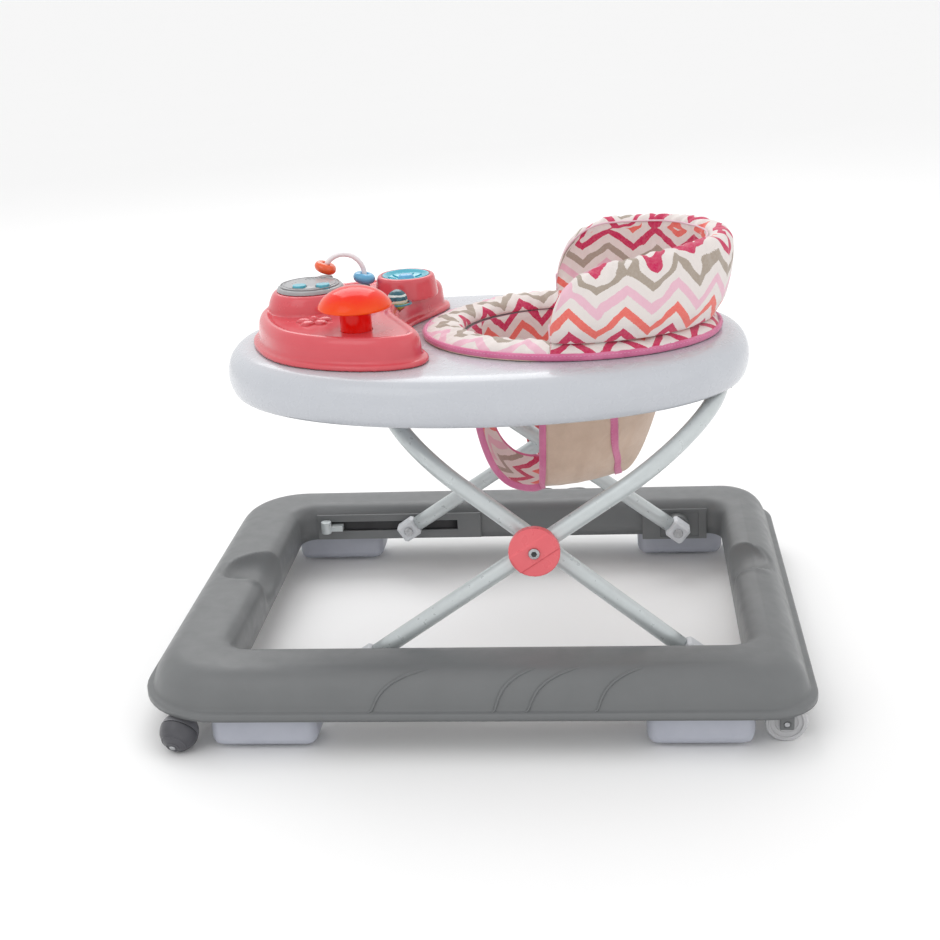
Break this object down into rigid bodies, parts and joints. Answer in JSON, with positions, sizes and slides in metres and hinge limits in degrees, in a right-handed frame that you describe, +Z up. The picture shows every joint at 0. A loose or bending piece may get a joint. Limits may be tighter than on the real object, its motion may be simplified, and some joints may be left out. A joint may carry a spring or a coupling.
{
  "type": "baby walker",
  "caption": "Baby walker: ring base on castors and wheels, crossed folding tube legs, and an oval tray with a padded sling seat and a toy panel.",
  "frame": {"origin": "centre of the base's footprint, on the floor that the wheels stand on", "axes": "+X towards the rear (the backrest), -X towards the front (the toy panel), -Y towards the child's left, +Z up"},
  "size_m": [0.72, 0.5908, 0.49],
  "materials": {
    "grey_plastic": "moulded, lightly textured",
    "pad": "pale moulded grip pad",
    "white_plastic": "moulded, glossy",
    "tube_paint": "pale grey powder coat",
    "coral_plastic": "moulded, glossy",
    "orange_plastic": "moulded, glossy",
    "cyan_plastic": "moulded, glossy",
    "blue_plastic": "moulded, glossy",
    "pod_plastic": "moulded, satin",
    "plum_plastic": "moulded, glossy",
    "dark_wheel": "moulded, satin",
    "pale_wheel": "moulded, matte",
    "steel": "zinc plated",
    "seat_fabric": "padded printed cotton, zigzag rows",
    "sling_fabric": "plain woven lining outside"
  },
  "bodies": {
    "base": {"base_frame": "grey_plastic", "slide_guide_left": "grey_plastic", "pivot_plate_left": "grey_plastic", "slot_stop_left": "tube_paint", "brake_pad_front_left": "pad", "brake_pad_rear_left": "pad", "rear_wheel_bracket_left": "grey_plastic", "slide_guide_right": "grey_plastic", "pivot_plate_right": "grey_plastic", "slot_stop_right": "tube_paint", "brake_pad_front_right": "pad", "brake_pad_rear_right": "pad", "rear_wheel_bracket_right": "grey_plastic"},
    "castor_left": {"castor_hood_left": "dark_wheel"},
    "castor_wheel_left": {"castor_wheel_left": "dark_wheel", "castor_axle_left": "steel"},
    "rear_wheel_left": {"rear_wheel_left": "pale_wheel", "rear_axle_left": "steel"},
    "castor_right": {"castor_hood_right": "dark_wheel"},
    "castor_wheel_right": {"castor_wheel_right": "dark_wheel", "castor_axle_right": "steel"},
    "rear_wheel_right": {"rear_wheel_right": "pale_wheel", "rear_axle_right": "steel"},
    "rear_leg": {"rear_leg_tube": "tube_paint", "rear_leg_plug_left": "white_plastic", "rear_leg_plug_right": "white_plastic", "rear_pivot_pin_left": "steel", "rear_pivot_pin_right": "steel", "hub_nut_left": "steel", "hub_nut_right": "steel"},
    "front_leg": {"front_leg_tube": "tube_paint", "front_leg_plug_left": "white_plastic", "front_leg_plug_right": "white_plastic", "slide_pin_left": "steel", "slide_pin_right": "steel", "hub_cap_left": "coral_plastic", "hub_cap_right": "coral_plastic", "hub_bolt_left": "steel", "hub_bolt_right": "steel"},
    "tray": {"tray_shell": "white_plastic", "rear_bar_bracket": "white_plastic", "front_slide_rail_left": "white_plastic", "front_slide_rail_right": "white_plastic", "seat_ring": "seat_fabric", "seat_backrest": "seat_fabric", "seat_sling": "sling_fabric", "toy_panel": "coral_plastic", "music_pod": "pod_plastic", "bead_arch": "white_plastic", "bead_foot_front": "pod_plastic", "bead_foot_rear": "plum_plastic", "toy_dish": "cyan_plastic"},
    "push_knob": {"push_knob": "orange_plastic"},
    "button_1": {"music_button_1": "cyan_plastic"},
    "button_2": {"music_button_2": "cyan_plastic"},
    "bead_red": {"bead_red": "orange_plastic"},
    "bead_blue": {"bead_blue": "blue_plastic"},
    "click_dial": {"click_dial": "blue_plastic"},
    "roller": {"roller_ball": "white_plastic"}
  },
  "joints": [
    {"name": "frame_fold", "type": "hinge", "parent": "base", "child": "rear_leg", "pos_m": [0.234, 0, 0.059], "axis": [0, 1, 0], "range_deg": [-26, 8]},
    {"name": "hub_pivot", "type": "hinge", "parent": "rear_leg", "child": "front_leg", "pos_m": [0.06941, 0, 0.18699], "axis": [0, 1, 0], "range_deg": [-15.3, 49.6]},
    {"name": "tray_pivot", "type": "hinge", "parent": "front_leg", "child": "tray", "pos_m": [0.27259, 0, 0.32301], "axis": [0, 1, 0], "range_deg": [-23.6, 7.3]},
    {"name": "castor_swivel_left", "type": "hinge", "parent": "base", "child": "castor_left", "pos_m": [-0.3165, -0.2615, 0.043], "axis": [0, 0, 1], "continuous": true},
    {"name": "castor_roll_left", "type": "hinge", "parent": "castor_left", "child": "castor_wheel_left", "pos_m": [-0.3105, -0.2745, 0.021], "axis": [-0.1836, -0.8637, -0.4695], "continuous": true},
    {"name": "rear_wheel_roll_left", "type": "hinge", "parent": "base", "child": "rear_wheel_left", "pos_m": [0.3263, -0.256, 0.022], "axis": [0, 1, 0], "continuous": true},
    {"name": "castor_swivel_right", "type": "hinge", "parent": "base", "child": "castor_right", "pos_m": [-0.3165, 0.2615, 0.043], "axis": [0, 0, 1], "continuous": true},
    {"name": "castor_roll_right", "type": "hinge", "parent": "castor_right", "child": "castor_wheel_right", "pos_m": [-0.3105, 0.2745, 0.021], "axis": [-0.1836, 0.8637, -0.4695], "continuous": true},
    {"name": "rear_wheel_roll_right", "type": "hinge", "parent": "base", "child": "rear_wheel_right", "pos_m": [0.3263, 0.256, 0.022], "axis": [0, 1, 0], "continuous": true},
    {"name": "knob_press", "type": "slide", "parent": "tray", "child": "push_knob", "axis": [0, 0, -1], "range_m": [0, 0.006], "stiffness_N_per_m": 700, "springref_m": -0.004},
    {"name": "button_1_press", "type": "slide", "parent": "tray", "child": "button_1", "axis": [0, 0, -1], "range_m": [0, 0.002], "stiffness_N_per_m": 400, "springref_m": -0.003},
    {"name": "button_2_press", "type": "slide", "parent": "tray", "child": "button_2", "axis": [0, 0, -1], "range_m": [0, 0.002], "stiffness_N_per_m": 400, "springref_m": -0.003},
    {"name": "bead_red_slide", "type": "hinge", "parent": "tray", "child": "bead_red", "pos_m": [-0.1553, 0.066, 0.4338], "axis": [0, 1, 0], "range_deg": [0, 50]},
    {"name": "bead_blue_slide", "type": "hinge", "parent": "tray", "child": "bead_blue", "pos_m": [-0.1553, 0.066, 0.4338], "axis": [0, -1, 0], "range_deg": [0, 55]},
    {"name": "dial_turn", "type": "hinge", "parent": "tray", "child": "click_dial", "pos_m": [-0.084, 0.072, 0.4302], "axis": [0, 0, 1], "continuous": true},
    {"name": "roller_turn", "type": "hinge", "parent": "tray", "child": "roller", "pos_m": [-0.088, 0.018, 0.4125], "axis": [0, 1, 0], "continuous": true}
  ],
  "couplings": [
    {"joint": "hub_pivot", "follows": "frame_fold", "ratio": -1.905},
    {"joint": "tray_pivot", "follows": "frame_fold", "ratio": 0.905}
  ]
}
